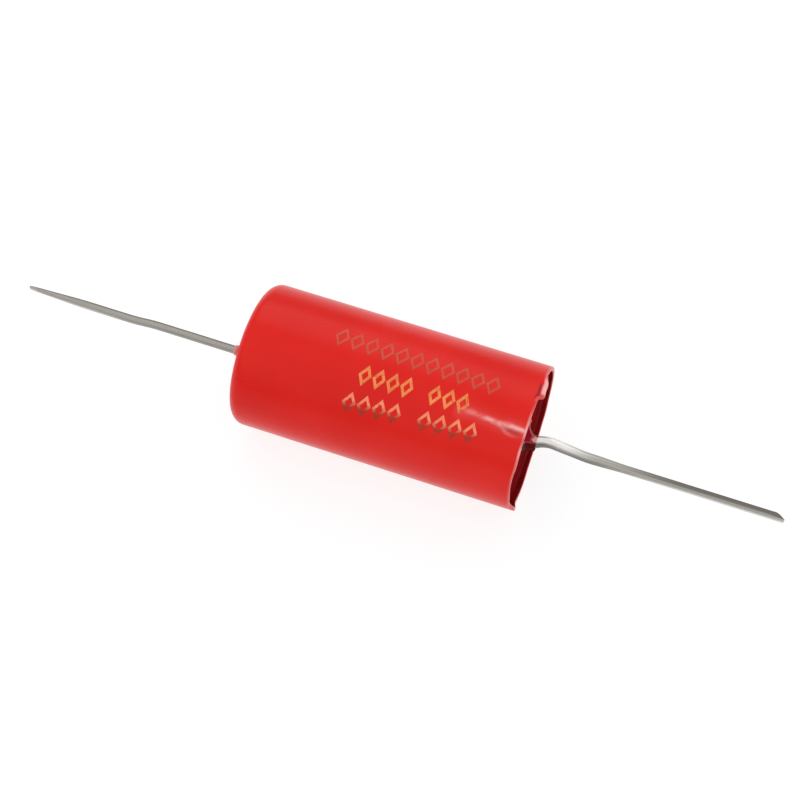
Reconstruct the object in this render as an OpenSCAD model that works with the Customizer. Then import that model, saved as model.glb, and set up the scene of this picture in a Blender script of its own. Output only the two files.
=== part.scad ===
// Axial film capacitor, in millimetres.
// The body lies along X with the middle of its axis on the origin, and +Z is up.
// The left end is at -X, the right end at +X, and the front is at -Y.
// The leads are bent in the XY plane.

/* [Body] */
// Outer diameter of the sleeve
body_d = 10.5; // [9:0.5:14]
// Length from the left end face to the right lip
body_l = 21; // [17:0.5:30]

/* [Sleeve] */
// Wall of the film sleeve
sleeve_wall = 0.3; // [0.2:0.05:0.4]
// Outer radius of the shrunk shoulder at the left end
shoulder_r = 0.9; // [0.6:0.1:1.3]
// Radius of the opening that the curled film leaves at the left end
curl_opening_r = 3.1; // [2.4:0.1:3.3]
// Height of the cut lip above the resin at the right end
lip_h = 0.5; // [0.35:0.05:0.9]

/* [Winding] */
// Hole that the winding mandrel leaves
mandrel_d = 1.6; // [1:0.1:2.2]
// Thickness of each sprayed end contact
spray_t = 0.4; // [0.2:0.05:0.6]

/* [Resin] */
// Resin over the left contact, up to the end face
left_fill_t = 1.9; // [1.6:0.1:3]
// Resin over the right contact, up to its sunk surface
right_fill_t = 1.4; // [1.3:0.1:2.4]
// Height to which the resin climbs the lip
meniscus_h = 0.16; // [0.06:0.02:0.3]
// Radius of the hollow curve in which it climbs
meniscus_r = 0.5; // [0.4:0.05:0.8]
// Height of the nub round the left lead above the end face
nub_h = 1.35; // [1.1:0.05:1.4]
// Radius of the nub at its top
nub_top_r = 0.38; // [0.35:0.01:0.6]
// Radius of the hollow curve on the nub's flank
nub_flank_r = 1.4; // [1.4:0.1:1.9]
// Height of the cone round the right lead above the sunk resin
cone_h = 0.95; // [0.7:0.05:1.1]
// Radius of the cone at its top
cone_top_r = 0.64; // [0.62:0.02:0.8]
// Radius of the hollow curve on the cone's flank
cone_flank_r = 1.1; // [1.1:0.1:1.6]

/* [Leads] */
// Diameter of the lead wire
lead_d = 0.6; // [0.5:0.05:0.7]
// Reach of the left lead past the end face
left_reach = 17.6; // [14:0.1:30]
// Reach of the right lead past the lip
right_reach = 17.9; // [14:0.1:30]
// Distance of the left lead's tail from the body's axis, to the front
left_set_off = 0.44; // [0.2:0.02:0.6]
// Distance of the right lead's tail from the body's axis, to the front
right_set_off = 0.15; // [0:0.01:0.4]
// Length of the straight foot soldered to the contact
foot_l = 2.2; // [1.8:0.1:2.6]
// Bend radius between foot and lead
foot_bend_r = 0.75; // [0.6:0.05:0.8]
// Straight run of the left lead from its foot to its kink
left_kink_at = 8; // [5:0.1:9]
// Angle of the left lead's kink
left_kink = 4.5; // [1:0.5:8]
// Run between the kink's two turns
left_kink_l = 0.6; // [0.3:0.1:2]
// Radius of the kink's two turns
left_kink_r = 12; // [6:1:16]

/* [Right lead's root] */
// Diameter of the thick tinned root
root_d = 1; // [0.8:0.05:1.05]
// Diameter in the middle of its taper
root_mid_d = 0.74; // [0.7:0.02:0.8]
// Run from the foot's bend to the swell
swell_at = 0.25; // [0.15:0.05:0.3]
// Length over which the wire swells to the root
swell_l = 0.25; // [0.2:0.05:0.4]
// Run of the root from the swell to its turn
root_l = 0.75; // [0.6:0.05:0.9]
// Length of the first part of the taper
taper_l = 1.9; // [1.4:0.1:2.4]
// Length of the last part of the taper
tail_taper_l = 2.6; // [1.6:0.1:3.2]
// Angle at which the root leans to the back as it leaves the resin
right_lean = 14; // [8:1:16]
// Angle of the turn that brings the lead forward again
right_turn = 20; // [16:1:24]
// Radius of that turn
right_turn_r = 3; // [2:0.5:5]
// Radius of the last turn, into the tail
tail_turn_r = 8; // [4:1:12]

/* [Tips] */
// Length of the wedge nipped at the left tip
nip_l = 1.2; // [0.8:0.1:2]
// Thickness left at the point of that wedge
nip_t = 0.1; // [0.06:0.02:0.2]
// Slant of the cut at the right tip
shear_angle = 45; // [20:1:50]

/* [Solder] */
// Solder under the wire's foot
solder_under = 0.06; // [0.04:0.01:0.1]
// Radius of each solder dome on its contact
solder_r = 1.15; // [1:0.05:1.3]
// Height of each solder dome
solder_h = 0.72; // [0.65:0.01:0.8]

/* [Hidden] */
$fn = 72;

body_r = body_d / 2;
inner_r = body_r - sleeve_wall;
lead_r = lead_d / 2;
root_r = root_d / 2;
// Height of the foot's middle above its contact
foot_h = solder_under + lead_r;

// Places along the body's axis
left_face = -body_l / 2;
lip_face = body_l / 2;
left_contact = left_face + left_fill_t;
resin_face = lip_face - lip_h;
right_contact = resin_face - right_fill_t;
winding_l = right_contact - left_contact - 2 * spray_t;

// How far a flank goes under the resin's surface, and a cutting tool past what it cuts
sink = 0.2;
over = 1;

// A turn of the wire is thinner than its straight runs by a hair, and its ends are let into them,
// so that the two meet on a clean ring at any angle
hair = 0.002;
let_in = 0.02;

// A wire is a list of steps: [straight run, radius at its end, turn after it, radius of that turn].
// A turn above 0 goes to the front. The first step is the foot, which lies across the contact.
left_steps = [
    [foot_l, lead_r, -90, foot_bend_r],
    [left_kink_at, lead_r, left_kink, left_kink_r],
    [left_kink_l, lead_r, -left_kink, left_kink_r]
];
right_steps = [
    [foot_l, lead_r, -90 - right_lean, foot_bend_r],
    [swell_at, lead_r, 0, 0],
    [swell_l, root_r, 0, 0],
    [root_l, root_r, right_turn, right_turn_r],
    [taper_l, root_mid_d / 2, right_lean - right_turn, tail_turn_r],
    [tail_taper_l, lead_r, 0, 0]
];

// Advance out of the body and drift to the front, from step i on, at heading a.
// Heading 0 points out of the body and 90 to the front.
function side(turn) = turn < 0 ? -1 : 1;
function advance(steps, a, i = 0) =
    i == len(steps) ? 0 :
    let (run = steps[i][0], r = steps[i][3] * side(steps[i][2]), b = a + steps[i][2])
    run * cos(a) + r * (sin(b) - sin(a)) + advance(steps, b, i + 1);
function drift(steps, a, i = 0) =
    i == len(steps) ? 0 :
    let (run = steps[i][0], r = steps[i][3] * side(steps[i][2]), b = a + steps[i][2])
    run * sin(a) + r * (cos(a) - cos(b)) + drift(steps, b, i + 1);

// Height of each tip above its contact, and the straight tail that is left for it
left_tip = left_fill_t + left_reach;
right_tip = right_fill_t + lip_h + right_reach;
left_tail = left_tip - foot_h - advance(left_steps, 90);
right_tail = right_tip - foot_h - advance(right_steps, 90);

// Where each lead stands at the end of its foot's bend, and where the right one leaves the resin
left_root = left_set_off - drift(left_steps, 0, 1);
right_root = right_set_off - drift(right_steps, -right_lean, 1);
right_root_h = foot_h + foot_bend_r * (1 + sin(right_lean));
cone_set_off = right_root - (right_fill_t + cone_h / 2 - right_root_h) * tan(right_lean);

// Outline of the body's half section, drawn in by a given inset: x is the radius, y the place on the axis
module envelope(inset) {
    corner = [body_r - shoulder_r, left_face + shoulder_r];
    translate([0, left_face + inset])
        square([corner.x, body_l - inset]);
    translate([0, corner.y])
        square([body_r - inset, lip_face - corner.y]);
    translate(corner)
        circle(shoulder_r - inset);
}

module sleeve_section() {
    difference() {
        envelope(0);
        envelope(sleeve_wall);
        translate([0, left_face - over])
            square([curl_opening_r, over + 2 * sleeve_wall]);
        translate([0, lip_face - over])
            square([inner_r, 2 * over]);
    }
    translate([curl_opening_r, left_face + sleeve_wall / 2])
        circle(sleeve_wall / 2);
}

// Turns a half section about the body's axis
module lathe() {
    rotate([0, 90, 0])
        rotate_extrude()
            children();
}

// Sets a shape made on z = 0, with x to the front, on a contact
module on_left_contact() {
    translate([left_contact, 0, 0])
        rotate([90, 0, 0])
            rotate([0, -90, 0])
                children();
}
module on_right_contact() {
    translate([right_contact, 0, 0])
        rotate([-90, 0, 0])
            rotate([0, 90, 0])
                children();
}

// One turn of the wire in the XZ plane, from +Z towards +X
module wire_turn(turn, bend_r, r) {
    lap = let_in / bend_r * 180 / PI;
    translate([bend_r, 0, 0])
        rotate([90, 0, 0])
            rotate([0, 0, 180 - turn - lap])
                rotate_extrude(angle = turn + 2 * lap)
                    translate([bend_r, 0])
                        circle(r - hair);
}

// The wire from step i on, starting at radius r
module wire(steps, r, i = 0) {
    if (i < len(steps)) {
        run = steps[i][0];
        end_r = steps[i][1];
        turn = steps[i][2];
        bend_r = steps[i][3];
        cylinder(h = run, r1 = r, r2 = end_r);
        translate([0, 0, run]) {
            if (turn > 0)
                wire_turn(turn, bend_r, end_r);
            if (turn < 0)
                mirror([1, 0, 0])
                    wire_turn(-turn, bend_r, end_r);
            translate([side(turn) * bend_r * (1 - cos(turn)), 0, bend_r * sin(abs(turn))])
                rotate([0, turn, 0])
                    wire(steps, end_r, i + 1);
        }
    }
}

// A lead on its contact, its tail on the line x = set_off
module lead_on_contact(steps, tail, set_off) {
    translate([set_off - drift(steps, 90), 0, foot_h])
        rotate([0, 90, 0])
            wire(concat(steps, [[tail, lead_r, 0, 0]]), lead_r);
}

// A boss of resin round a lead, with a hollow flank; z = 0 is the resin's surface
module resin_boss(h, top_r, flank_r) {
    rotate_extrude()
        difference() {
            translate([0, -sink])
                square([top_r + flank_r, h + sink]);
            translate([top_r + flank_r, h])
                circle(flank_r);
        }
}

// A solder dome on z = 0, over the middle of the foot of a lead that rises at x = root.
// A tool that cuts its place out of the resin goes on below z = 0.
module solder_dome(root, below = 0) {
    ball_r = (solder_r * solder_r + solder_h * solder_h) / (2 * solder_h);
    translate([root - foot_bend_r - foot_l / 2, 0, 0])
        intersection() {
            translate([0, 0, solder_h - ball_r])
                sphere(ball_r);
            translate([0, 0, -below])
                cylinder(h = 2 * solder_h + below, r = 2 * solder_r);
        }
}

module film_winding() {
    color("gainsboro")
        translate([left_contact + spray_t, 0, 0])
            rotate([0, 90, 0])
                difference() {
                    cylinder(h = winding_l, r = inner_r);
                    translate([0, 0, -over])
                        cylinder(h = winding_l + 2 * over, d = mandrel_d);
                }
}

module spray_disc(x) {
    translate([x, 0, 0])
        rotate([0, 90, 0])
            cylinder(h = spray_t, r = inner_r);
}
module left_end_spray() {
    color("darkgray") spray_disc(left_contact);
}
module right_end_spray() {
    color("darkgray") spray_disc(right_contact - spray_t);
}

module left_wire() {
    on_left_contact()
        lead_on_contact(left_steps, left_tail, left_set_off);
}
module left_lead() {
    nip_angle = atan((lead_r - nip_t / 2) / nip_l);
    color("lightgray")
        difference() {
            left_wire();
            on_left_contact()
                translate([left_set_off, 0, left_tip])
                    for (m = [0, 1])
                        mirror([m, 0, 0])
                            translate([nip_t / 2, 0, 0])
                                rotate([0, -nip_angle, 0])
                                    translate([0, -lead_d, -2 * nip_l])
                                        cube([2 * lead_d, 2 * lead_d, 4 * nip_l]);
        }
}

module right_wire() {
    on_right_contact()
        lead_on_contact(right_steps, right_tail, right_set_off);
}
module right_lead() {
    color("lightgray")
        difference() {
            right_wire();
            on_right_contact()
                translate([right_set_off + lead_r, 0, right_tip])
                    rotate([0, -shear_angle, 0])
                        translate([-3 * lead_d, -lead_d, 0])
                            cube([4 * lead_d, 2 * lead_d, 2 * lead_d]);
        }
}

module left_solder() {
    color("silver")
        difference() {
            on_left_contact() solder_dome(left_root);
            left_wire();
        }
}
module right_solder() {
    color("silver")
        difference() {
            on_right_contact() solder_dome(right_root);
            right_wire();
        }
}

module left_end_fill() {
    color("firebrick")
        difference() {
            union() {
                lathe()
                    difference() {
                        intersection() {
                            envelope(0);
                            translate([0, left_face - over])
                                square([body_r, left_fill_t + over]);
                        }
                        sleeve_section();
                    }
                on_left_contact()
                    translate([left_root, 0, left_fill_t])
                        resin_boss(nub_h, nub_top_r, nub_flank_r);
            }
            left_wire();
            on_left_contact() solder_dome(left_root, below = over);
        }
}

module right_end_fill() {
    meniscus_w = sqrt(meniscus_r * meniscus_r - pow(meniscus_r - meniscus_h, 2));
    color("maroon")
        difference() {
            union() {
                lathe() {
                    translate([0, right_contact])
                        square([inner_r, right_fill_t]);
                    difference() {
                        translate([inner_r - meniscus_w, resin_face - sink])
                            square([meniscus_w, meniscus_h + sink]);
                        translate([inner_r - meniscus_w, resin_face + meniscus_r])
                            circle(meniscus_r);
                    }
                }
                on_right_contact()
                    translate([cone_set_off, 0, right_fill_t])
                        resin_boss(cone_h, cone_top_r, cone_flank_r);
            }
            right_wire();
            on_right_contact() solder_dome(right_root, below = over);
        }
}

module outer_sleeve() {
    color("red") lathe() sleeve_section();
}

film_winding();
left_end_spray();
right_end_spray();
left_solder();
right_solder();
left_lead();
right_lead();
left_end_fill();
right_end_fill();
outer_sleeve();
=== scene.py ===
# %% [markdown]
# # Axial film capacitor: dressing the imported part
# The part is a wound film capacitor, 10.5 mm thick and 21 mm long, in a tight red film sleeve, with a wire
# out of the middle of each end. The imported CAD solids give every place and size. This notebook gives each
# surface its look: a fine sleeve skin, gold foil marks, drawn wires and glossy end resin.

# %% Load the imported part
from math import atan2, cos, exp, hypot, pi, radians, sin, sqrt, tan
import bmesh
import bpy
from mathutils import Matrix, Vector, noise


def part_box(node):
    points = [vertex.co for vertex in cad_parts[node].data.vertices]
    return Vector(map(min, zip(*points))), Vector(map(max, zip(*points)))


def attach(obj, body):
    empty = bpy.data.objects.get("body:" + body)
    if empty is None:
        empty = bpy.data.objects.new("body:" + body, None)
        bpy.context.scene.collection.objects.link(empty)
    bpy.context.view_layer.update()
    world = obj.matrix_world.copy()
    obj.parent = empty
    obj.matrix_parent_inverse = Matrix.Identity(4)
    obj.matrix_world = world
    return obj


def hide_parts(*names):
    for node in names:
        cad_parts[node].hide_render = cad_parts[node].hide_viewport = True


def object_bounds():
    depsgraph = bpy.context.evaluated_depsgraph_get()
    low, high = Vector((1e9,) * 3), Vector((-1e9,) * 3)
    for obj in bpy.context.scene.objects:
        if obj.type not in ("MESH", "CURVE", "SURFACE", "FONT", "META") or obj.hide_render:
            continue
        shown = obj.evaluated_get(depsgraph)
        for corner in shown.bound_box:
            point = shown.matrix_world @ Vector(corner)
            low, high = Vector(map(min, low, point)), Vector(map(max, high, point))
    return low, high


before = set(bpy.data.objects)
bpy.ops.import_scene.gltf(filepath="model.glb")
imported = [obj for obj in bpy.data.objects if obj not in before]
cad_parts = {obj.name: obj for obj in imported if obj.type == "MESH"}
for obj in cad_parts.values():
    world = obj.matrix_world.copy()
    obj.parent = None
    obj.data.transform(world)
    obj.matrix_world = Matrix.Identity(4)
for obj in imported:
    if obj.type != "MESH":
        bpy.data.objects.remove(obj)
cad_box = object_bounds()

MM = 0.001
print("solids:", sorted(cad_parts))

# %% [markdown]
# ## The sizes that the pieces share
# The body lies along X with its middle at the origin, so each size can be read off the boxes of the packed
# nodes. Reading them there, and not typing them again, keeps the pieces on the solids if the CAD changes.

# %% Read the body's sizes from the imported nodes
sleeve_low, sleeve_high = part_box("outer_sleeve")
LEFT_FACE, LIP = sleeve_low[0], sleeve_high[0]
BODY_R = sleeve_high[2]
WALL, LIP_H = 0.3 * MM, 0.5 * MM
INNER_R = BODY_R - WALL
RESIN_FACE = LIP - LIP_H
LEFT_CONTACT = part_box("left_end_spray")[0][0]
RIGHT_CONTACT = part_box("right_end_spray")[1][0]
FLOOR = sleeve_low[2]
print("body radius", round(BODY_R / MM, 3), "mm, faces at", round(LEFT_FACE / MM, 3), round(LIP / MM, 3))

# %% [markdown]
# ## Small helpers
# Every piece ends the same way: its bmesh becomes an object that rides on the body "root" and, where it
# stands for a solid, replaces it. One helper does all of that. The floor, the lights and the camera use its
# first step too.

# %% Helper: put something in the scene
def placed(name, data):
    obj = bpy.data.objects.new(name, data)
    bpy.context.scene.collection.objects.link(obj)
    print("placed", name)
    return obj

# %% Helper: turn a bmesh into a finished piece
def make_piece(name, bm, finish, stands_for=(), smooth_angle=40):
    bmesh.ops.recalc_face_normals(bm, faces=bm.faces)
    mesh = bpy.data.meshes.new(name)
    bm.to_mesh(mesh)
    bm.free()
    mesh.shade_smooth()
    mesh.set_sharp_from_angle(angle=radians(smooth_angle))
    mesh.materials.append(finish.material)
    obj = placed(name, mesh)
    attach(obj, "root")
    if stands_for:
        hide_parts(*stands_for)
    print(name, "has", len(mesh.polygons), "faces")
    return obj

# %% [markdown]
# Bmesh operators give back their new geometry as one mixed list, and some ask for the whole mesh. Three short
# helpers sort that out. The fourth is a curve that starts and ends gently, which every soft edge here uses.

# %% Helpers: sort geometry, ease a step
def verts_in(geometry):
    return [v for v in geometry if isinstance(v, bmesh.types.BMVert)]

def edges_in(geometry):
    return [e for e in geometry if isinstance(e, bmesh.types.BMEdge)]

def whole(bm):
    return bm.verts[:] + bm.edges[:] + bm.faces[:]

def smooth_step(t):
    t = min(max(t, 0), 1)
    return t * t * (3 - 2 * t)

print("a smooth step is halfway up at", smooth_step(0.5))

# %% [markdown]
# ## Finishes
# A finish could be a picture wrapped round its piece, but a picture blurs up close and has a seam. Here each
# is a node material instead. It starts from the object's own coordinates in metres, so a noise of scale 1000
# has grains of about a millimetre. All finishes repeat the same wiring, which these classes hold: the first
# makes and feeds nodes, the second adds patterns, and the third leads them into the shader.

# %% Helper: a class that makes and feeds nodes
class Wiring:
    def __init__(self, name, **shader):
        self.material = bpy.data.materials.new(name)
        self.material.use_nodes = True
        self.tree = self.material.node_tree
        self.shader = self.tree.nodes["Principled BSDF"]
        for socket, value in shader.items():
            self.feed(self.shader.inputs[socket.replace("_", " ")], value)
        self.coords = self.tree.nodes.new("ShaderNodeTexCoord").outputs["Object"]
        print("finish:", name)

    def feed(self, socket, value):
        if isinstance(value, bpy.types.NodeSocket):
            self.tree.links.new(value, socket)
        elif socket.type == "RGBA":
            socket.default_value = (*value, 1)
        else:
            socket.default_value = value

    def node(self, kind, **sockets):
        made = self.tree.nodes.new("ShaderNode" + kind)
        for socket, value in sockets.items():
            self.feed(made.inputs[socket.replace("_", " ")], value)
        return made

# %% Helper: a class that adds patterns
class Patterns(Wiring):
    def stretched(self, scale):
        return self.node("Mapping", Scale=scale, Vector=self.coords).outputs["Vector"]

    def grain(self, scale, detail=3, vector=None):
        return self.node("TexNoise", Scale=scale, Detail=detail, Vector=vector or self.coords).outputs["Fac"]

    def attribute(self, name):
        node = self.node("Attribute")
        node.attribute_name = name
        return node.outputs["Fac"]

    def slant(self):
        return self.node("LayerWeight").outputs["Facing"]

    def spread(self, value, low, high, to_low=0.0, to_high=1.0):
        return self.node("MapRange", Value=value, From_Min=low, From_Max=high, To_Min=to_low,
                         To_Max=to_high).outputs["Result"]

    def sums(self, operation, first, second):
        node = self.node("Math")
        node.operation = operation
        self.feed(node.inputs[0], first)
        self.feed(node.inputs[1], second)
        return node.outputs[0]

# %% Helper: a class that adds colours and leads them into the shader
class Finish(Patterns):
    def ramp(self, value, *stops):
        node = self.node("ValToRGB", Fac=value)
        band = node.color_ramp
        for element, (place, colour) in zip(band.elements, (stops[0], stops[-1])):
            element.position, element.color = place, (*colour, 1)
        for place, colour in stops[1:-1]:
            band.elements.new(place).color = (*colour, 1)
        return node.outputs["Color"]

    def blend(self, factor, first, second):
        node = self.node("Mix", Factor=factor)
        node.data_type = "RGBA"
        self.feed(node.inputs[6], first)
        self.feed(node.inputs[7], second)
        return node.outputs[2]

    def colour(self, value):
        self.feed(self.shader.inputs["Base Color"], value)

    def roughness(self, value):
        self.feed(self.shader.inputs["Roughness"], value)

    def gloss(self, value):
        self.feed(self.shader.inputs["Specular IOR Level"], value)

    def relief(self, height, depth, strength=1.0):
        bump = self.node("Bump", Height=height, Distance=depth, Strength=strength)
        self.feed(self.shader.inputs["Normal"], bump.outputs["Normal"])

# %% [markdown]
# The sleeve is a thin red polyester film. Its colour is deep and even, with faint clouds where the film lies
# looser, and its gloss is soft. Its cut edge, torn tongue and crease are painted pale pink: partly film that
# is pale where it is cut or stretched, partly a painted highlight where they face the light. Beside the
# crease and under the tongue the film is painted nearly black as shade. Those places could have materials of
# their own, but then they would end in hard lines. Two attributes on the mesh fade them in and out instead.

# %% Finish: red sleeve film
red = Finish("red_sleeve_film", IOR=1.45, Specular_IOR_Level=0.17)
film_red = red.ramp(red.grain(160, 4), (0.25, (0.65, 0.009, 0.006)), (0.5, (0.70, 0.012, 0.0075)),
                    (0.8, (0.75, 0.018, 0.012)))
# The second attribute blends the red towards near black: painted shade beside the crease and under the
# tongue.
film_with_painted_shade = red.blend(red.attribute("painted_shade"), film_red, (0.22, 0.002, 0.008))
# The pale pink is partly film that is pale where cut or stretched and partly a painted highlight.
red.colour(red.blend(red.attribute("cut"), film_with_painted_shade, (0.92, 0.42, 0.40)))
red.roughness(red.spread(red.grain(240, 1), 0.2, 0.8, 0.25, 0.31))
red.relief(red.grain(420, 3), 0.03 * MM, 0.35)

# %% [markdown]
# Inside the lip the film sees little light, and its deep, dull red is painted shade on the same film. It
# could share the outer finish, but that one mirrors the sky, so the inner wall has a finish of its own.

# %% Finish: inner wall of the sleeve
inner_red = Finish("inner_film_painted_shade", IOR=1.45, Specular_IOR_Level=0.0, Roughness=0.55)
inner_shade_tone = inner_red.ramp(inner_red.grain(700, 3), (0.3, (0.16, 0.004, 0.005)), (0.7, (0.26, 0.007, 0.008)))
inner_red.colour(inner_shade_tone)
inner_red.relief(inner_red.grain(900, 2), 0.02 * MM, 0.4)

# %% [markdown]
# The end resin is a dark maroon epoxy, and its colour is darkened further as painted shade, since the ends
# see little light. A shader's gloss grows at a slant, but this resin is cloudy and its gloss dies away there,
# so the angle of view itself turns the gloss down. The resin turns red and then pink where it is drawn up
# thin against the wire; on the right wire's root the pale pink patch is a painted highlight, and the brown
# under that root is painted shade. It could be see-through, but that renders slowly and needs a body behind
# it.
# Two attributes mark those places instead.

# %% Finish: end resin
resin = Finish("maroon_end_resin", IOR=1.5)
resin_thinness_and_highlight, shaded_resin = resin.attribute("thinness_and_highlight"), resin.attribute("shaded")
deep_maroon_and_shade = resin.ramp(resin.grain(500, 4), (0.3, (0.14, 0.003, 0.005)), (0.7, (0.27, 0.006, 0.008)))
# Red where the resin is drawn up against the wire; the pale pink end is a painted highlight on the right
# wire's root.
thin_red_and_highlight_pink = resin.ramp(resin_thinness_and_highlight, (0.0, (0.24, 0.004, 0.007)), (0.5, (0.60, 0.03, 0.03)),
                      (1.0, (0.92, 0.50, 0.44)))
clear = resin.blend(resin.spread(resin_thinness_and_highlight, 0.0, 0.3), deep_maroon_and_shade, thin_red_and_highlight_pink)
# Painted shade: the resin browns under the right wire's root.
resin.colour(resin.blend(shaded_resin, clear, (0.085, 0.005, 0.004)))
seen_flat_on = resin.spread(resin.slant(), 0.35, 0.72, 0.3, 0.0)
resin.gloss(resin.sums("MULTIPLY", seen_flat_on, resin.sums("SUBTRACT", 1.0, shaded_resin)))
resin.roughness(resin.spread(resin.grain(900, 2), 0.3, 0.7, 0.4, 0.55))
resin.relief(resin.grain(1300, 3), 0.03 * MM, 0.5)

# %% [markdown]
# The wires are tinned copper. The tin is drawn along the wire, so its fine scratches run along X: the
# coordinates are squeezed along X before the noise reads them. The thick root of the right wire is painted
# pale, partly as fresh tin and partly as a painted highlight, and it greys over the next few millimetres;
# the lower front of each wire towards its tip is painted bright as a highlight. Under the right root, and
# in a stripe along the upper rear side, painted shade darkens the tin. Two attributes say where. A
# mirror-like metal would show such stripes only where the room has dark things to mirror, so they are
# painted into the tin's own colour.

# %% Finish: tinned wire
tin = Finish("tinned_wire", Metallic=0.85, IOR=1.5)
drawn = tin.grain(1.0, 4, tin.stretched((350, 6000, 6000)))
scratched = tin.ramp(drawn, (0.3, (0.26, 0.25, 0.22)), (0.7, (0.40, 0.38, 0.34)))
grey = tin.blend(tin.grain(900, 3), scratched, (0.34, 0.32, 0.29))
# The first attribute paints the tin pale, partly fresh tin and partly highlight; the second darkens it as
# painted shade.
tin_with_highlight = tin.blend(tin.attribute("pale_tin_and_highlight"), grey, (0.92, 0.91, 0.89))
tin.colour(tin.blend(tin.attribute("dim"), tin_with_highlight, (0.125, 0.108, 0.09)))
tin.roughness(tin.spread(drawn, 0.3, 0.7, 0.32, 0.5))
tin.relief(drawn, 0.006 * MM, 0.5)

# %% [markdown]
# The marks on the sleeve are hot-stamped gold foil. Foil never takes evenly: tiny holes let the red show
# through. Each row faces the light differently, so each has its tone painted as a reflection: the upper row
# dim, the middle bright, and the lowest bright with a darker foot. One finish for all rows would show them
# alike, so a helper makes one per row. The attribute `up` says how high on its mark a point is, from -0.5
# to 0.5.

# %% Finish: gold foil
def foil_finish(name, bright, dim, wear_and_highlight, dark_reflection_at_foot=None):
    foil = Finish(name, Metallic=0.25, IOR=1.5, Specular_IOR_Level=0.3)
    tone = foil.ramp(foil.grain(1500, 3), (0.35, dim), (0.65, bright))
    # Painted reflection: the foot of each mark is darkened where the foil turns away from the light.
    if dark_reflection_at_foot:
        tone = foil.blend(foil.spread(foil.attribute("up"), 0.12, -0.2), tone, dark_reflection_at_foot)
    holes = foil.spread(foil.grain(5200, 4), 0.62 - wear_and_highlight, 0.74 - wear_and_highlight)
    foil.colour(foil.blend(holes, tone, (0.55, 0.05, 0.025)))
    foil.roughness(foil.spread(foil.grain(2500, 2), 0.3, 0.7, 0.3, 0.45))
    return foil

# Each row's tone is a painted reflection.
foil_faint = foil_finish("gold_foil_painted_dim_reflection", (0.50, 0.070, 0.035), (0.46, 0.050, 0.025), wear_and_highlight=0.12)
foil_bright = foil_finish("gold_foil_painted_bright_reflection", (0.86, 0.27, 0.08), (0.72, 0.17, 0.045), wear_and_highlight=0.02)
foil_tilted = foil_finish("gold_foil_painted_split_reflection", (0.93, 0.29, 0.16), (0.84, 0.21, 0.10), wear_and_highlight=0.02,
                          dark_reflection_at_foot=(0.36, 0.03, 0.010))

# %% [markdown]
# ## The sleeve
# The sleeve is a tube of film that has shrunk over the rounded left shoulder and was cut square at the
# right. It could be a cylinder with a material, but then its cut lip, its rolled-in end and its crease
# would be painted on. Here a few outline points are spun into a wall, the corners are bevelled, and the
# right half is divided finely so that the crease can be pressed in.

# %% Helper: spin an outline round the body's axis
def spun(points, closed, steps):
    bm = bmesh.new()
    verts = [bm.verts.new((x, 0, r)) for x, r in points]
    pairs = list(zip(verts, verts[1:] + verts[:1] if closed else verts[1:]))
    edges = [bm.edges.new(pair) for pair in pairs]
    bmesh.ops.spin(bm, geom=verts + edges, cent=(0, 0, 0), axis=(1, 0, 0), angle=2 * pi,
                   steps=steps, use_merge=True)
    print("spun", len(points), "points into", len(bm.faces), "faces")
    return bm

# %% Helper: round off a ring of edges
NEAR = 1e-6

def rings_at(bm, x, r):
    def on(vert):
        return abs(vert.co.x - x) < NEAR and abs(hypot(vert.co.y, vert.co.z) - r) < NEAR
    return [e for e in bm.edges if on(e.verts[0]) and on(e.verts[1])]

def round_ring(bm, x, r, offset, segments):
    bmesh.ops.bevel(bm, geom=rings_at(bm, x, r), offset=offset, offset_type="OFFSET", segments=segments,
                    profile=0.5, affect="EDGES", material=-1, clamp_overlap=True)

# %% Spin the sleeve's wall and round its corners
OPENING_R, SHOULDER_R = 2.95 * MM, 0.9 * MM
OUTER_LIP_R, INNER_LIP_R = 0.06 * MM, 0.05 * MM
outline = [(LIP, BODY_R), (LEFT_FACE, BODY_R), (LEFT_FACE, OPENING_R),
           (LEFT_FACE + WALL, OPENING_R), (LEFT_FACE + WALL, INNER_R), (LIP, INNER_R)]
sleeve = spun(outline, closed=True, steps=320)
round_ring(sleeve, LEFT_FACE, BODY_R, SHOULDER_R, 10)
round_ring(sleeve, LEFT_FACE + WALL, INNER_R, SHOULDER_R - WALL, 6)
round_ring(sleeve, LEFT_FACE, OPENING_R, 0.45 * WALL, 4)
round_ring(sleeve, LEFT_FACE + WALL, OPENING_R, 0.45 * WALL, 4)
round_ring(sleeve, LIP, BODY_R, OUTER_LIP_R, 2)
round_ring(sleeve, LIP, INNER_R, INNER_LIP_R, 2)
print("sleeve wall:", len(sleeve.faces), "faces")

# %% Divide the wall where it needs detail
CREASE_START, LIP_ZONE = 5.2 * MM, 10.14 * MM

def cut_across(bm, x):
    bmesh.ops.bisect_plane(bm, geom=whole(bm), dist=1e-7, plane_co=(x, 0, 0), plane_no=(1, 0, 0))

def divide_between(bm, low, high, cuts):
    def lengthwise(edge):
        a, b = sorted(v.co.x for v in edge.verts)
        return a > low - NEAR and b < high + NEAR and b - a > 0.5 * (high - low)
    along = [e for e in bm.edges if lengthwise(e)]
    bmesh.ops.subdivide_edges(bm, edges=along, cuts=cuts, use_grid_fill=False)

cut_across(sleeve, CREASE_START)
cut_across(sleeve, LIP_ZONE)
divide_between(sleeve, LEFT_FACE + SHOULDER_R, CREASE_START, 23)
divide_between(sleeve, CREASE_START, LIP_ZONE, 50)
divide_between(sleeve, LIP_ZONE, LIP - OUTER_LIP_R, 8)
print("divided:", len(sleeve.faces), "faces")

# %% [markdown]
# The crease runs from the foil to the lip, nearly along the body, where the film was pinched as it was pushed
# on. It could be a bump in the material, but a bump has no outline and can't lift the foil. A point's height
# on it depends only on how far it is from the crease's line, so the line is kept as a few places:
# millimetres along the axis, and degrees round it from the top to the front.

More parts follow.
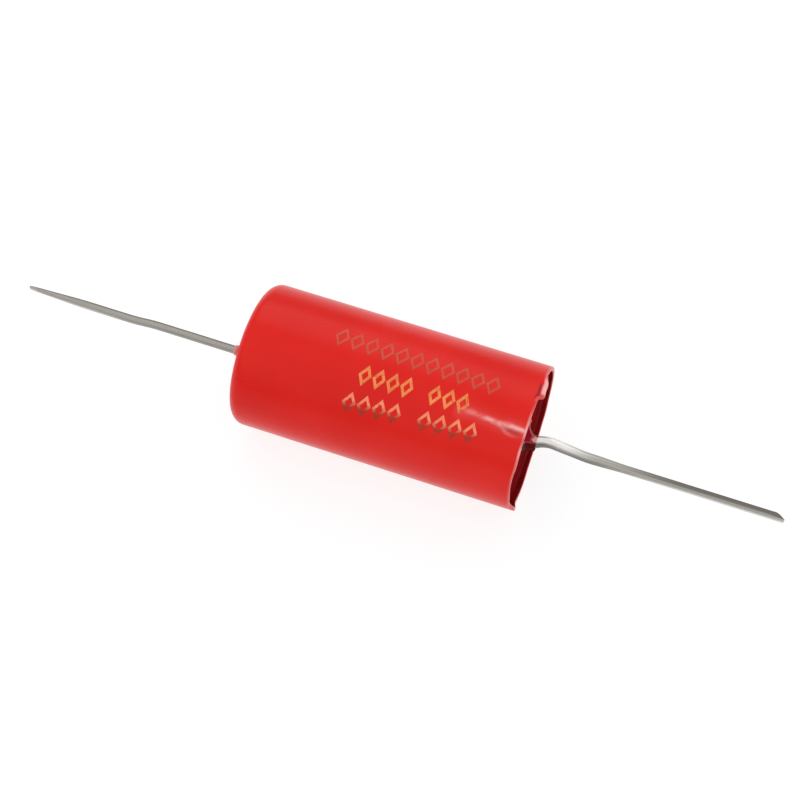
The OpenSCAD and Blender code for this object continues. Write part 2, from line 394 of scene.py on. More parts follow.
# %% The lines of the crease and its branch
CREASE = [(5.8, 24.2), (6.6, 23.0), (7.4, 23.9), (8.1, 24.5), (8.7, 25.2), (9.2, 24.2), (9.7, 24.5),
          (10.7, 25)]
BRANCH = [(8.6, 25.6), (8.85, 27.2), (9.16, 29.3), (9.57, 30.4), (10.1, 30.2)]
CREASE_FROM, CREASE_SIDES = 5, (8, 42)
ARC = BODY_R / MM * pi / 180

def by_crease(x, angle):
    return x > CREASE_FROM and CREASE_SIDES[0] < angle < CREASE_SIDES[1]

def away_from(line, x, angle):
    """How far a place is from a line, on which side of it, and how far along it"""
    best, side, share = 99, 0, 0
    for i in range(len(line) - 1):
        (x0, a0), (x1, a1) = line[i], line[i + 1]
        dx, da = x1 - x0, (a1 - a0) * ARC
        px, pa = x - x0, (angle - a0) * ARC
        t = min(max((px * dx + pa * da) / (dx * dx + da * da), 0), 1)
        d = hypot(px - t * dx, pa - t * da)
        if d < best:
            best, side, share = d, pa - t * da, (i + t) / (len(line) - 1)
    return best, side, share

print("a degree round the body is", round(ARC, 3), "mm")

# %% Helper: how high the film stands at the crease
def hump(distance, width):
    return exp(-(distance / width) ** 2)

def crease_height(x, angle):
    d, side, share = away_from(CREASE, x, angle)
    grow = 0.35 + 0.65 * smooth_step(share)
    beside = (d / 0.6) ** 2
    height = grow * (0.085 * hump(d, 0.13) - 0.07 * exp(-((side - 0.34) / 0.2) ** 2 - beside))
    height -= grow * 0.05 * exp(-((side + 0.36) / 0.22) ** 2 - beside)
    d, _, share = away_from(BRANCH, x, angle)
    height += sin(pi * min(share + 0.12, 1)) * (0.05 * hump(d, 0.1) - 0.03 * hump(d - 0.25, 0.13))
    return height

print("crease height near the lip:", round(crease_height(9.7, 24.5), 3), "mm")

# %% [markdown]
# The lip was cut with a blade, so its edge isn't quite square: it has a torn tongue near the top, a slanted
# foot and small ripples. A boolean with a wavy cutter could make these, but it would leave a raw edge. The
# wall's own points are moved along the body instead, so the film keeps its thickness and its rounded edge.
# At the other end the film gathers in fine pleats as it curls in.

# %% Helpers: how far the film's ends reach
TONGUE, PLEAT = 0.37, 0.02

def tongue_at(angle):
    return smooth_step((angle + 36) / 22) * smooth_step((-3.8 - angle) / 2.2)

def lip_reach(angle):
    """How far the cut edge stands beyond its square place, all round"""
    foot = 0.24 * smooth_step((143 - angle) / 24) + 0.1 * smooth_step((190 - angle) / 50)
    foot *= smooth_step((angle - 97) / 18)
    hollow = -0.1 * smooth_step((angle - 52) / 16) * smooth_step((92 - angle) / 18)
    ripple = 0.03 * noise.noise(Vector((3 * cos(radians(angle)), 3 * sin(radians(angle)), 0.5)))
    return TONGUE * tongue_at(angle) * (0.93 + 0.07 * sin(radians(angle * 31))) + foot + hollow + ripple

def reach(x, r, angle):
    """How far a point of the film moves along the body: pleats at the left, the cut edge at the right"""
    if x < -10.19 and OPENING_R / MM < r < 4.6:
        wave = 1 + sin(radians(angle * 23) + 2 * sin(radians(angle * 5)))
        return PLEAT * wave * smooth_step((r - 3) / 0.5)
    torn = TONGUE * tongue_at(angle)
    near_lip, at_edge = smooth_step((x - 9.9) / 0.6), smooth_step((x - 10.16) / 0.28)
    return (lip_reach(angle) - torn) * near_lip + torn * at_edge

print("the foot of the lip reaches", round(lip_reach(118), 3), "mm further")

# %% [markdown]
# The film is painted pale along the cut edge, on the tongue and on top of the crease: partly film that is
# pale where it is cut or stretched, partly a painted highlight where those places face the light, with a
# faint painted glow round the crease. One even tone would look painted, so the edge's paleness is read off a
# table, and noise breaks up the crease's.

# %% Helper: read a value off a table
def between(table, value):
    for (a, first), (b, second) in zip(table, table[1:]):
        if value <= b:
            return first + (second - first) * (value - a) / (b - a)
    return table[-1][1]

# %% How pale the cut edge and the tongue are painted, partly as a highlight
EDGE_PALE_AND_HIGHLIGHT = [(-180, 0.2), (-45, 0.25), (-8, 0.2), (3, 0.05), (7, 0.12), (11.6, 0.34), (16.4, 0.5), (21, 0.7),
             (25.8, 1), (28.8, 0.58), (31, 0.24), (35, 0.28), (38, 0.65), (41, 0.88), (44, 0.72),
             (47.6, 0.45), (60, 0.3), (72, 0.14), (90, 0.14), (100, 0.22), (180, 0.2)]

# Painted highlight, partly real paleness: the cut edge and the tongue are painted palest where they face the
# light, at the front.
def edge_pale_and_highlight(x, angle):
    tongue = smooth_step((angle + 37) / 6) * smooth_step((-6.5 - angle) / 2.5)
    tongue *= smooth_step((x - 10.31) / 0.05) * (0.3 + 0.7 * smooth_step((angle + 28) / 7))
    return max(tongue, between(EDGE_PALE_AND_HIGHLIGHT, angle) * smooth_step((x - 10.33) / 0.08))

print("the cut edge is palest at", max(EDGE_PALE_AND_HIGHLIGHT, key=lambda row: row[1])[0], "degrees")

# %% How pale the crease is painted, partly as a highlight, and how dark as painted shade
def streaks(x, angle):
    """Small bright and dull places along the crease, from 0 to 1"""
    coarse = noise.noise(Vector((x * 1.6, angle * 0.22, 2)))
    fine = noise.noise(Vector((x * 4.5, angle * 1.1, 7)))
    return min(1, max(0, 0.78 + 0.7 * coarse + 0.45 * fine))

# Painted highlight, partly real paleness: the crease's top is pale stretched film with painted glints, and a
# faint painted glow round it.
def crease_pale_and_highlight(x, angle):
    d, side, _ = away_from(CREASE, x, angle)
    wide = 0.17 + 0.09 * hump(x - 6.3, 0.5) + 0.06 * hump(x - 9, 0.6)
    bright = (0.42 + 0.58 * smooth_step((x - 6.6) / 1.6)) * smooth_step((x - 5.5) / 0.6)
    ridge = bright * streaks(x, angle) * exp(-((side + 0.03) / wide) ** 2 - (d / 0.5) ** 2)
    around = (0.09 + 0.05 * smooth_step(x - 8.6)) * hump(d, 0.45)
    d, _, share = away_from(BRANCH, x, angle)
    return max(ridge, around, 0.62 * streaks(x, angle) * hump(d, 0.12) * (1.15 - share))

# Painted shade: a dark band beside the crease's ridge near the lip, where the ridge shades the film.
def crease_painted_shade(x, angle):
    d, side, _ = away_from(CREASE, x, angle)
    beside = 0.75 * exp(-((side - 0.3) / 0.13) ** 2 - (d / 0.5) ** 2)
    return beside * smooth_step((x - 8.7) / 0.4) * smooth_step((10.3 - x) / 0.3)

# Painted shadow: a dark line where the torn tongue shades the film below it.
def tongue_shadow(x, angle):
    return 0.9 * hump(x - 10.28, 0.045) * smooth_step((angle + 22) / 9) if -22 < angle < -3 else 0

print("paleness on the crease:", [round(crease_pale_and_highlight(x, 24.3), 2) for x in (7, 8, 9, 10)])

# %% Shape the skin and write its paleness, its painted highlights and its painted shade
cut = sleeve.verts.layers.float.new("cut")
painted_shade = sleeve.verts.layers.float.new("painted_shade")
for face in sleeve.faces:
    middle = face.calc_center_median()
    inner = hypot(middle.y, middle.z) < INNER_R + 0.01 * MM
    # The inner wall's faces take the second finish, whose dark red is painted shade.
    if inner and LEFT_FACE + 2 * MM < middle.x < LIP - 0.045 * MM:
        face.material_index = 1

for vert in sleeve.verts:
    x, r = vert.co.x / MM, hypot(vert.co.y, vert.co.z)
    angle = atan2(-vert.co.y, vert.co.z) * 180 / pi
    outside = r > (BODY_R + INNER_R) / 2
    lift = crease_height(x, angle) * (1 if outside else 0.6) if by_crease(x, angle) else 0
    vert.co.x += MM * reach(x, r / MM, angle)
    vert.co.yz = vert.co.yz * ((r + lift * MM) / r)
    wear_and_highlight = dark = 0
    if outside:
        dark = tongue_shadow(x, angle)
        if x > 5.3 and by_crease(x, angle):
            wear_and_highlight, dark = crease_pale_and_highlight(x, angle), crease_painted_shade(x, angle)
    # This paleness is partly the film's own and partly painted highlight.
    vert[cut] = min(1, max(edge_pale_and_highlight(x, angle), wear_and_highlight))
    # Painted shade beside the crease and under the tongue.
    vert[painted_shade] = min(1, dark)

sleeve_skin = make_piece("sleeve_skin", sleeve, red, ["outer_sleeve"])
sleeve_skin.data.materials.append(inner_red.material)

# %% [markdown]
# ## The gold foil rows
# Three rows of foil are stamped across the sleeve. They are kept as rows of plain lozenges with the size and
# rhythm of a stamped row, and say nothing. They could be a pattern in the film's material, but foil lies on
# the film and catches the light by itself. So each mark starts as a circle of four points. An inset turns it
# into an open lozenge, which is given a foil's thickness and wrapped round the body, over the crease.

# %% Helper: wrap a flat row round the body
FOIL, FOIL_SUNK = 0.012 * MM, 0.004 * MM

def wrapped(bm, start, angle, skew):
    for vert in bm.verts:
        x, up = vert.co.x, vert.co.y
        turn = radians(angle - skew * (x - start) / MM) - up / BODY_R
        degrees_round = turn * 180 / pi
        lift = crease_height(x / MM, degrees_round) if by_crease(x / MM, degrees_round) else 0
        r = BODY_R - FOIL_SUNK + vert.co.z + lift * MM
        vert.co = Vector((x, -r * sin(turn), r * cos(turn)))

# %% Helper: one open lozenge
def foil_mark(bm, x, width, height, stroke, lean=0.12):
    shear = Matrix.Identity(4)
    shear[0][1] = lean
    place = Matrix.Translation((x, 0, 0)) @ shear @ Matrix.Diagonal((width, height, 1, 1))
    flat = bmesh.ops.create_circle(bm, cap_ends=True, segments=4, radius=0.5, matrix=place)["verts"]
    faces = flat[0].link_faces[:]
    bmesh.ops.inset_region(bm, faces=faces, thickness=stroke, use_boundary=True, use_even_offset=True)
    bmesh.ops.delete(bm, geom=faces, context="FACES_ONLY")

# %% Helper: a row of marks
def foil_row(name, finish, start, end, angle, skew, height, stroke, places, blank=None):
    """Marks from start to end in mm, at degrees from the top to the front; skew turns the row as it goes"""
    bm = bmesh.new()
    pitch = (end - start) / places
    for place in range(places):
        if place != blank:
            x = start + pitch * (place + 0.5)
            foil_mark(bm, x * MM, 0.93 * pitch * MM, height * MM, stroke * MM)
    sides = [e for e in bm.edges if abs(e.verts[0].co.y - e.verts[1].co.y) > 0.2 * height * MM]
    bmesh.ops.subdivide_edges(bm, edges=sides, cuts=5)
    shell = bmesh.ops.extrude_face_region(bm, geom=bm.faces[:])["geom"]
    bmesh.ops.translate(bm, vec=(0, 0, FOIL), verts=verts_in(shell))
    upward = bm.verts.layers.float.new("up")
    for vert in bm.verts:
        vert[upward] = vert.co.y / (height * MM)
    wrapped(bm, start * MM, angle, skew)
    make_piece(name, bm, finish, smooth_angle=30)

# %% The three rows
foil_row("foil_row_upper", foil_faint, start=-4.2, end=7.9, angle=-4.6, skew=-0.2, height=1.6, stroke=0.16,
         places=11)
foil_row("foil_row_middle", foil_bright, start=-1.7, end=6.3, angle=20.3, skew=0.26, height=1.55, stroke=0.2,
         places=8, blank=4)
foil_row("foil_row_lower", foil_tilted, start=-2.3, end=7.4, angle=43.5, skew=0.62, height=1.55, stroke=0.19,
         places=9, blank=4)

# %% [markdown]
# ## The wires
# Each wire lies across the sprayed metal inside the body, turns up through the resin and runs out along the
# body's axis with the small kinks of hand forming. A curve with a bevel would draw it too, but a ring of
# edges that is extruded along each straight run and spun round each turn keeps the true bend radii. A step
# is a straight run in millimetres, the wire's radius at its end, a turn in degrees and the turn's own radius.

# %% Steps of each wire, as it is formed
WIRE_R, FOOT_BEND_R, ROOT_LEAN = 0.3, 0.75, 18
FOOT_H = 0.06 + WIRE_R
LEFT_SET_OFF, RIGHT_SET_OFF = 0.44, 0.15
LEFT_STEPS = [(2.2, 0.3, -90, FOOT_BEND_R), (8, 0.3, 4.5, 12), (0.6, 0.3, -4.5, 12)]
RIGHT_STEPS = [(2.36, 0.3, -90 - ROOT_LEAN, FOOT_BEND_R), (0.25, 0.3, 0, 0), (0.25, 0.5, 0, 0),
               (1.0, 0.4, ROOT_LEAN + 6, 2), (1.9, 0.37, -6, 8), (2.6, 0.3, 0, 0)]
LEFT_TIP = (LEFT_CONTACT - cad_box[0][0]) / MM
RIGHT_TIP = (cad_box[1][0] - RIGHT_CONTACT) / MM

def walk(steps, heading=90):
    """How far to the front and how far out a wire gets, if it starts at this heading"""
    front = out = 0
    for run, _, turn, bend in steps:
        a, b, side = radians(heading), radians(heading + turn), -1 if turn < 0 else 1
        front += run * sin(a) + side * bend * (cos(a) - cos(b))
        out += run * cos(a) + side * bend * (sin(b) - sin(a))
        heading += turn
    return front, out

for name, steps in (("left", LEFT_STEPS), ("right", RIGHT_STEPS)):
    print(name, "wire walks", [round(n, 3) for n in walk(steps)], "mm")

# %% Helpers: grow a tube from its open ring
def extruded(bm, edges):
    new = bmesh.ops.extrude_edge_only(bm, edges=edges)["geom"]
    return verts_in(new), edges_in(new)

def carry(bm, ring, start, end, factor):
    """Carry a ring's middle from start to end and change its size by a factor"""
    move = Matrix.Translation(end) @ Matrix.Scale(factor, 4) @ Matrix.Translation(-start)
    bmesh.ops.transform(bm, matrix=move, verts=ring)

# %% Helper: the open end of a wire, which runs on and turns
class OpenEnd:
    """A ring of edges with its middle, its heading and its radius, in millimetres"""
    def __init__(self, spot, radius):
        self.bm = bmesh.new()
        self.spot, self.heading, self.radius = spot, Vector((0, -1, 0)), radius
        self.ring = bmesh.ops.create_circle(self.bm, cap_ends=True, segments=28, radius=radius)["verts"]
        bmesh.ops.rotate(self.bm, cent=(0, 0, 0), matrix=Matrix.Rotation(pi / 2, 3, "X"), verts=self.ring)
        bmesh.ops.translate(self.bm, vec=spot, verts=self.ring)
        self.edges = self.bm.edges[:]

    def run_on(self, run, end_r):
        start_r = self.radius
        parts = 8 if end_r != start_r else max(1, round(run / 2))
        step = self.heading * (run / parts)
        for part in range(1, parts + 1):
            self.ring, self.edges = extruded(self.bm, self.edges)
            self.spot = self.spot + step
            bmesh.ops.translate(self.bm, vec=step, verts=self.ring)
            goal = start_r + (end_r - start_r) * smooth_step(part / parts)
            carry(self.bm, self.ring, self.spot, self.spot, goal / self.radius)
            self.radius = goal

    def turn(self, swing, bend):
        """Spin round a centre at one side: degrees, and the turn's own radius"""
        side = Matrix.Rotation(pi / 2 if swing > 0 else -pi / 2, 3, "Z") @ self.heading
        centre = self.spot + side * bend
        last = bmesh.ops.spin(self.bm, geom=self.ring + self.edges, cent=centre, axis=(0, 0, 1),
                              angle=radians(swing), steps=max(4, round(abs(swing) / 7)),
                              use_merge=False)["geom_last"]
        self.ring, self.edges = verts_in(last), edges_in(last)
        spin = Matrix.Rotation(radians(swing), 3, "Z")
        self.spot, self.heading = centre + spin @ (self.spot - centre), spin @ self.heading

# %% Helper: form a wire
def formed_wire(steps, contact, outward, set_off, tip, last_steps=()):
    """The wire and its tip's place in millimetres; a run before the last steps fills what is left"""
    travel, rise = walk(steps)
    rest = tip - FOOT_H - rise - sum(step[0] for step in last_steps)
    wire = OpenEnd(Vector((contact / MM + outward * FOOT_H, -(set_off - travel), 0)), WIRE_R)
    for run, end_r, turn, bend in [*steps, (rest, WIRE_R, 0, 0), *last_steps]:
        wire.run_on(run, end_r)
        if turn:
            wire.turn(-outward * turn, bend)
    bmesh.ops.edgeloop_fill(wire.bm, edges=wire.edges)
    bmesh.ops.remove_doubles(wire.bm, verts=wire.bm.verts, dist=1e-4)
    print("wire ends at", [round(c, 3) for c in wire.spot], "mm")
    return wire.bm, wire.spot

# %% [markdown]
# The tips were made by pliers: the left one was nipped to a wedge, the right one sheared at a slant, which
# left a burr. Cutting a tube with planes does just what the blades did, so no tip has to be drawn. After
# that, a rule of the place along the wire and the degrees round it writes where the tin is painted pale,
# partly as a highlight, and where painted shade darkens it.

# %% Helpers: slice a wire, and write where its tin is painted pale and where painted shade darkens it
def sliced(bm, place, normal):
    new = bmesh.ops.bisect_plane(bm, geom=whole(bm), dist=1e-6, plane_co=place, plane_no=normal.normalized(),
                                 clear_outer=True)["geom_cut"]
    bmesh.ops.edgeloop_fill(bm, edges=edges_in(new))

def tinned(bm, shade):
    bmesh.ops.scale(bm, vec=(MM, MM, MM), verts=bm.verts)
    bmesh.ops.recalc_face_normals(bm, faces=bm.faces)
    bm.normal_update()
    pale_tin_and_highlight, dim = (bm.verts.layers.float.new(name) for name in ("pale_tin_and_highlight", "dim"))
    for vert in bm.verts:
        angle = atan2(-vert.normal.y, vert.normal.z) * 180 / pi
        vert[pale_tin_and_highlight], vert[dim] = shade(vert.co.x / MM, angle)

# %% The left wire, drawn thin and nipped flat at its tip
NIP_LENGTH, NIP_EDGE, NIP_FROM = 1.2, 0.1, 0.2
left, end = formed_wire(LEFT_STEPS, LEFT_CONTACT, -1, LEFT_SET_OFF, LEFT_TIP, last_steps=[(5, 0.17, 0, 0)])
slope = (NIP_FROM - NIP_EDGE / 2) / NIP_LENGTH
for way in (-1, 1):
    sliced(left, end + Vector((0, way * NIP_EDGE / 2, 0)), Vector((-slope, way, 0)))

# Painted light: the left wire's upper rear side is darkened as painted shade, and its lower front near the
# tip is painted bright as a highlight.
def left_shade(x, angle):
    upper_rear = smooth_step((14 - angle) / 36) * smooth_step((angle + 125) / 50)
    bright_tip = smooth_step((-19 - x) / 4) * smooth_step((angle - 40) / 50)
    return 0.03 + 0.35 * bright_tip, 0.05 + 0.68 * upper_rear

tinned(left, left_shade)
make_piece("left_tinned_wire", left, tin, ["left_lead"])

# %% The right wire, sheared at a slant
BURR = 0.3
right, end = formed_wire(RIGHT_STEPS, RIGHT_CONTACT, 1, RIGHT_SET_OFF, RIGHT_TIP + BURR)
for slant in (1.5, -1):
    sliced(right, end + Vector((0, -0.6 * WIRE_R, 0)), Vector((1, slant, 0)))

# Painted light: the right root is painted pale, partly fresh tin and partly highlight; the lower front
# further out is painted bright as a highlight; under the root and along the upper rear side, painted shade
# darkens it.
def right_shade(x, angle):
    near_root = smooth_step((12.4 - x) / 1.3)
    pale_root = 0.12 + 0.88 * smooth_step((15.4 - x) / 3.4)
    bright_front = 0.6 * smooth_step((angle - 36) / 60) * smooth_step((x - 17) / 4)
    under = smooth_step((angle - 24 + 12 * near_root) / (60 - 22 * near_root))
    under *= (0.85 + 0.05 * near_root) * smooth_step((170 - angle) / 40) * smooth_step((18.5 - x) / 5)
    upper_rear = smooth_step((46 - angle) / 34) * smooth_step((angle + 125) / 50) * smooth_step((x - 15) / 6)
    return max(pale_root, bright_front), max(under, 0.9 * upper_rear)

tinned(right, right_shade)
make_piece("right_tinned_wire", right, tin, ["right_lead"])

# %% [markdown]
# ## The end resin
# Liquid resin fills each end flush, wets the wall of the sleeve and climbs the wire. A disc with a cone on it
# would show a seam where they meet. So a disc is spun from a line of closely spaced points, and every point
# is then raised by how near it is to the wire and to the wall, in one smooth sheet.

# %% Helper: a poured disc with its surface raised by a rule
ROW = 0.05

def poured_disc(face, bottom, radius, outward, rise, fine_to):
    """The rule gives each point's height in mm, how far the resin is drawn up there with its painted
    highlight, and how much painted shade it gets
    """
    rows = [i * ROW for i in range(1, round(fine_to / ROW))]
    coarse = [fine_to + (radius / MM - fine_to) * (i / 16) for i in range(17)]
    points = [(bottom, 0.02 * MM), (bottom, radius)] + [(face, r * MM) for r in reversed(rows + coarse)]
    bm = spun(points, closed=False, steps=192)
    bmesh.ops.holes_fill(bm, edges=[e for e in bm.edges if e.is_boundary], sides=0)
    thinness_and_highlight, shaded = (bm.verts.layers.float.new(name) for name in ("thinness_and_highlight", "shaded"))
    for vert in bm.verts:
        if abs(vert.co.x - face) < 1e-7:
            height, vert[thinness_and_highlight], vert[shaded] = rise(-vert.co.y / MM, vert.co.z / MM)
            vert.co.x += outward * height * MM
    return bm

def climb(d, height, top, flank):
    """How high resin stands at a distance d from a wire that it has climbed, with a hollow flank"""
    across = min(max(top + flank - d, 0), flank)
    return max(height - sqrt(flank ** 2 - across ** 2), 0) if d > top else height

# %% The left end: a nub round the wire
NUB_H, NUB_TOP, NUB_FLANK = 1.35, 0.37, 1.4
left_front = LEFT_SET_OFF - walk(LEFT_STEPS[1:], 0)[0]

def left_rise(front, up):
    d = hypot(front - left_front, up)
    height = climb(d, NUB_H, NUB_TOP, NUB_FLANK)
    return height, 0.45 * height / NUB_H + 0.4 * smooth_step((0.45 - d) / 0.1), 0

left_disc = poured_disc(LEFT_FACE, LEFT_CONTACT, 4.3 * MM, -1, left_rise, 2.1)
make_piece("left_resin", left_disc, resin, ["left_end_fill"])

# %% Where the right wire comes out of the resin
CONE_H, CONE_TOP, CONE_FLANK = 0.95, 0.56, 1.1
root_front = RIGHT_SET_OFF - walk(RIGHT_STEPS[1:], -ROOT_LEAN)[0]
root_h = FOOT_H + FOOT_BEND_R * (1 + sin(radians(ROOT_LEAN)))
cone_front = root_front - ((RESIN_FACE - RIGHT_CONTACT) / MM + CONE_H / 2 - root_h) * tan(radians(ROOT_LEAN))
print("cone stands", round(cone_front, 3), "mm to the front of the axis")

# %% The right end: a cone that climbs the root, and a raised rim at the wall
def right_rise(front, up):
    d = hypot(front - cone_front, up)
    cone = climb(d, CONE_H, CONE_TOP, CONE_FLANK)
    rim = 0.16 * smooth_step((hypot(front, up) - 4.5) / 0.42)
    angle = atan2(front - cone_front, up) * 180 / pi
    # Painted highlight: a pale pink patch on top of the cone, where the light falls.
    painted_highlight = smooth_step((36 - abs(angle)) / 20) * smooth_step((0.7 - d) / 0.12)
    # Painted shade: brown on the cone's lower front, under the wire's root.
    in_shade = smooth_step((angle - 26) / 24) * smooth_step(cone / 0.4)
    return cone + rim, 0.12 * cone / CONE_H + 0.85 * painted_highlight, 0.85 * in_shade

right_disc = poured_disc(RESIN_FACE, RIGHT_CONTACT, INNER_R - 0.02 * MM, 1, right_rise, 2.0)
make_piece("right_resin", right_disc, resin, ["right_end_fill"])

# %% [markdown]
# ## The pinched web
# Where the crease meets the lip, a small web of film was pinched inwards and stuck to the wire's root. It
# could be pulled out of the sleeve's own wall, but the wall's points are too few and too thick for so thin a
# web. So it starts as a flat grid: one way across the grid leads from the lip to the root, the other from
# the web's upper edge to its lower one. Each edge carries a thicker hem, which is a ring extruded along it.

# %% Finish: the pinched web
web_red = Finish("pinched_film_web", IOR=1.5, Roughness=0.5, Specular_IOR_Level=0.0)
# The web is the sleeve's film, painted a much darker red as shade because it lies in the shaded opening; its
# pale hems are partly cut film and partly a painted highlight.
web_shaded_tone = web_red.ramp(web_red.grain(900, 3), (0.3, (0.22, 0.004, 0.012)), (0.7, (0.36, 0.008, 0.024)))
web_red.colour(web_red.blend(web_red.attribute("cut"), web_shaded_tone, (0.90, 0.42, 0.38)))
web_red.relief(web_red.grain(2500, 2), 0.02 * MM, 0.6)

# %% Where the web's two edges run
LIP_GRIP_R, SAG = 5.0, 0.12

def on_circle(x, middle, radius, angle):
    """A place in mm on a circle across the axis, at degrees from the top to the front"""
    return Vector((x, -middle - radius * sin(radians(angle)), radius * cos(radians(angle))))

def along_edge(edge, t):
    """A place on a sagging edge, from the lip at 0 to the wire's root at 1"""
    return edge[0].lerp(edge[1], t) - Vector((SAG * sin(pi * t), 0, 0))

at_lip, at_root = LIP / MM - 0.05, RESIN_FACE / MM + 0.6
UPPER_EDGE = (on_circle(at_lip, 0, LIP_GRIP_R, 15), on_circle(at_root, cone_front, CONE_TOP, -18))
LOWER_EDGE = (on_circle(at_lip, 0, LIP_GRIP_R, 33), on_circle(at_root, cone_front, CONE_TOP, 30))
print("the web is", round((UPPER_EDGE[1] - UPPER_EDGE[0]).length, 2), "mm long at its upper edge")

# %% The web's sheet
SHEET = 0.06
web = bmesh.new()
bmesh.ops.create_grid(web, x_segments=24, y_segments=12, size=0.5)
pale = web.verts.layers.float.new("cut")
for vert in web.verts:
    t, across = vert.co.x + 0.5, vert.co.y + 0.5
    vert.co = along_edge(UPPER_EDGE, t).lerp(along_edge(LOWER_EDGE, t), across)
    vert.co.x -= SAG * sin(pi * across) * (1 - t) ** 0.7
    vert[pale] = 0.3 * smooth_step((t - 0.86) / 0.12)
bmesh.ops.solidify(web, geom=web.faces[:], thickness=SHEET)
print("the web's sheet has", len(web.faces), "faces")

# %% Helper: hem an edge
HEM_THIN, HEM_GROWS, HEM_PARTS = 0.055, 0.075, 16

def hem(bm, edge, pale_at_lip, pale_at_root):
    ring = bmesh.ops.create_circle(bm, cap_ends=True, segments=10, radius=1)["verts"]
    edges = ring[0].link_faces[0].edges[:]
    facing = (edge[1] - edge[0]).to_track_quat("Z", "X").to_matrix()
    bmesh.ops.rotate(bm, cent=(0, 0, 0), matrix=facing, verts=ring)
    spot, radius = Vector((0, 0, 0)), 1
    for part in range(HEM_PARTS + 1):
        t = part / HEM_PARTS
        if part:
            ring, edges = extruded(bm, edges)
        goal_spot, goal = along_edge(edge, t), HEM_THIN + HEM_GROWS * abs(2 * t - 1) ** 3
        carry(bm, ring, spot, goal_spot, goal / radius)
        spot, radius = goal_spot, goal
        for vert in ring:
            vert[pale] = pale_at_lip + (pale_at_root - pale_at_lip) * smooth_step(2 * t)
    bmesh.ops.edgeloop_fill(bm, edges=edges)

# %% Hem the web and finish it
# The hems are painted pale, partly as cut film and partly as a painted highlight where they catch the light.
hem(web, UPPER_EDGE, pale_at_lip=0.8, pale_at_root=0.28)
hem(web, LOWER_EDGE, pale_at_lip=0.4, pale_at_root=0.08)
bmesh.ops.scale(web, vec=(MM, MM, MM), verts=web.verts)
make_piece("pinched_web", web, web_red)

# %% [markdown]
# ## Inside the body
# The winding, the sprayed metal and the solder can't be seen, but a part library may show them cut open. They
# could be modelled again as pieces. Their solids already have the right shape, though, so those are kept and
# only get finishes of their own: silvery film with lines along the roll, grainy zinc and smoother solder.

# %% Finishes of the hidden solids
winding = Finish("metallised_film_roll", Metallic=0.6, Roughness=0.3, IOR=1.5)
rolled = winding.grain(1.0, 2, winding.stretched((20, 9000, 9000)))
winding.colour(winding.ramp(rolled, (0.35, (0.60, 0.61, 0.63)), (0.65, (0.80, 0.81, 0.83))))
winding.relief(rolled, 0.01 * MM, 0.4)

spray = Finish("sprayed_zinc", Metallic=0.7, IOR=1.5)
grit = spray.grain(5000, 5)
spray.colour(spray.ramp(grit, (0.35, (0.34, 0.34, 0.35)), (0.65, (0.60, 0.60, 0.61))))
spray.roughness(spray.spread(spray.grain(4000, 3), 0.3, 0.7, 0.5, 0.8))
spray.relief(grit, 0.04 * MM, 0.8)

solder = Finish("solder_dome", Metallic=0.9, IOR=1.5)
solder.colour(solder.ramp(solder.grain(1500, 3), (0.35, (0.55, 0.55, 0.56)), (0.65, (0.74, 0.74, 0.74))))
solder.roughness(solder.spread(solder.grain(1200, 2), 0.3, 0.7, 0.2, 0.4))

# %% Put them on the solids
for node, finish in (("film_winding", winding), ("left_end_spray", spray), ("right_end_spray", spray),
                     ("left_solder", solder), ("right_solder", solder)):
    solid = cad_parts[node]
    solid.data.materials.clear()
    solid.data.materials.append(finish.material)
    print(node, "wears", finish.material.name)

# %% [markdown]
# ## Floor, light and camera
# The part lies on a pale light table. A floor that doesn't glow could be lit as brightly by lamps, but then
# the part would stand in a dark shadow. This one glows, which keeps the shadow thin, and it is so large that
# none of its edges are seen. It is only the stage, so it isn't a piece of the part.

# %% Floor
TABLE_HALF, TABLE_GLOW = 1.5, 0.83
table = Finish("pale_table", Roughness=0.9, IOR=1.3, Specular_IOR_Level=0.1,
               Emission_Color=(1, 1, 1), Emission_Strength=TABLE_GLOW)
table.colour(table.ramp(table.grain(30, 2), (0.3, (0.19, 0.19, 0.19)), (0.7, (0.21, 0.21, 0.21))))
floor_bm = bmesh.new()
bmesh.ops.create_grid(floor_bm, x_segments=1, y_segments=1, size=TABLE_HALF)
bmesh.ops.translate(floor_bm, vec=(0, 0, FLOOR), verts=floor_bm.verts)
floor_mesh = bpy.data.meshes.new("floor")
floor_bm.to_mesh(floor_mesh)
floor_bm.free()
floor_mesh.materials.append(table.material)
floor = placed("floor", floor_mesh)

# %% [markdown]
# A broad soft light stands behind the part and a wider one fills from the front. Small lamps would be as
# bright, but would draw hard shadows and points of glare on the film. Lights and camera all stand on a ball
# round the part and look inwards, so one helper places them.

# %% Helper: stand something round the part and turn it inwards
def face_inwards(obj, azimuth, elevation, distance, aim=Vector((0, 0, 0))):
    """The azimuth goes from the front to the right, in degrees; distance and aim are in metres"""
    a, e = radians(azimuth), radians(elevation)
    toward = Vector((sin(a) * cos(e), -cos(a) * cos(e), sin(e)))
    obj.location = aim + distance * toward
    obj.rotation_euler = (-toward).to_track_quat("-Z", "Y").to_euler()

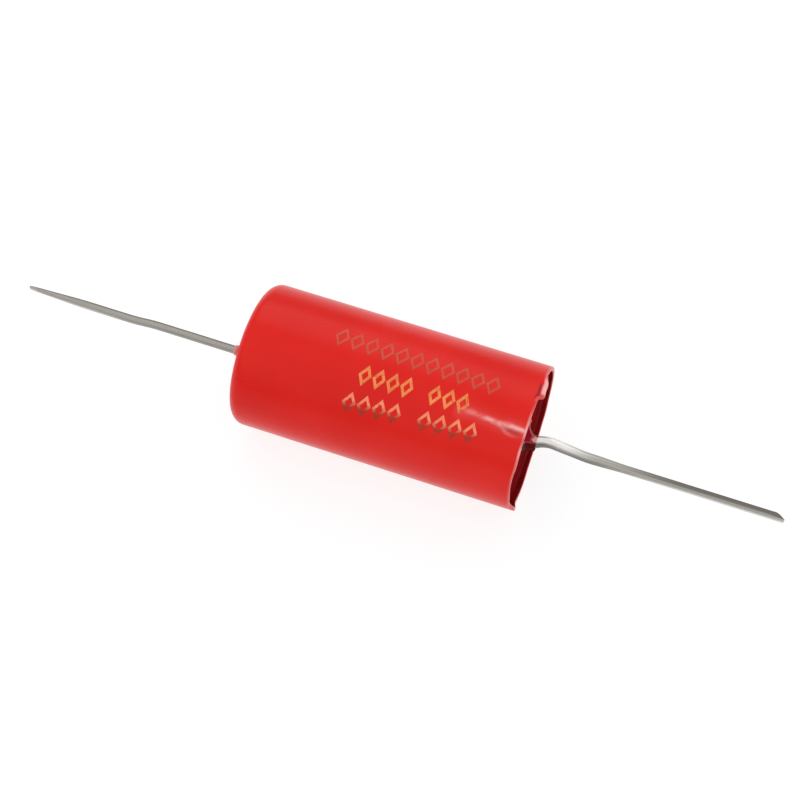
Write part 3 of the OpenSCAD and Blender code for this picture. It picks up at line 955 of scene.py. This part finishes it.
# %% Lights
def soft_light(name, azimuth, elevation, distance, size, power):
    lamp = bpy.data.lights.new(name, "AREA")
    lamp.shape, lamp.size, lamp.energy = "DISK", size, power
    face_inwards(placed(name, lamp), azimuth, elevation, distance)

soft_light("broad_light", azimuth=205, elevation=46, distance=0.5, size=0.38, power=0.45)
soft_light("front_fill", azimuth=335, elevation=55, distance=0.6, size=0.9, power=0.5)

# %% [markdown]
# The sky lights what no lamp reaches, and the film mirrors it. An even sky would do, but the round body would
# look flat under it. This one is white overhead and greyer at the horizon, so the body's sides fall off
# gently.

# %% Sky
SKY_LOW, SKY_HIGH, FULL_AT = 0.40, 0.91, 0.6
world = bpy.data.worlds.new("studio")
world.use_nodes = True
sky = world.node_tree
across_sky = sky.nodes.new("ShaderNodeSeparateXYZ")
sky.links.new(sky.nodes.new("ShaderNodeTexCoord").outputs["Generated"], across_sky.inputs[0])
brightness = sky.nodes.new("ShaderNodeMapRange")
brightness.interpolation_type = "SMOOTHSTEP"
for socket, number in (("From Min", 0), ("From Max", FULL_AT), ("To Min", SKY_LOW), ("To Max", SKY_HIGH)):
    brightness.inputs[socket].default_value = number
sky.links.new(across_sky.outputs["Z"], brightness.inputs["Value"])
sky.links.new(brightness.outputs["Result"], sky.nodes["Background"].inputs["Strength"])
sky.nodes["Background"].inputs["Color"].default_value = (1, 1, 1, 1)
bpy.context.scene.world = world
bpy.context.scene.view_settings.view_transform = "Standard"
print("sky from", SKY_LOW, "to", SKY_HIGH)

# %% [markdown]
# The camera stands high over the front of the part and a little to the right. A wide lens close by would show
# as much, but it would swell the near side of the body, so this one is long and stands further off.

# %% Camera
AIM = Vector((0.76, -0.21, 0)) * MM
CAMERA_AZIMUTH, CAMERA_ELEVATION, CAMERA_DISTANCE = 19.7, 60.7, 125.2 * MM
camera = bpy.data.cameras.new("camera")
camera.lens, camera.sensor_width, camera.clip_start = 79.3, 36, 1 * MM
viewer = placed("camera", camera)
face_inwards(viewer, CAMERA_AZIMUTH, CAMERA_ELEVATION, CAMERA_DISTANCE, AIM)
bpy.context.scene.camera = viewer
print("camera at", [round(c / MM, 2) for c in viewer.location], "mm")
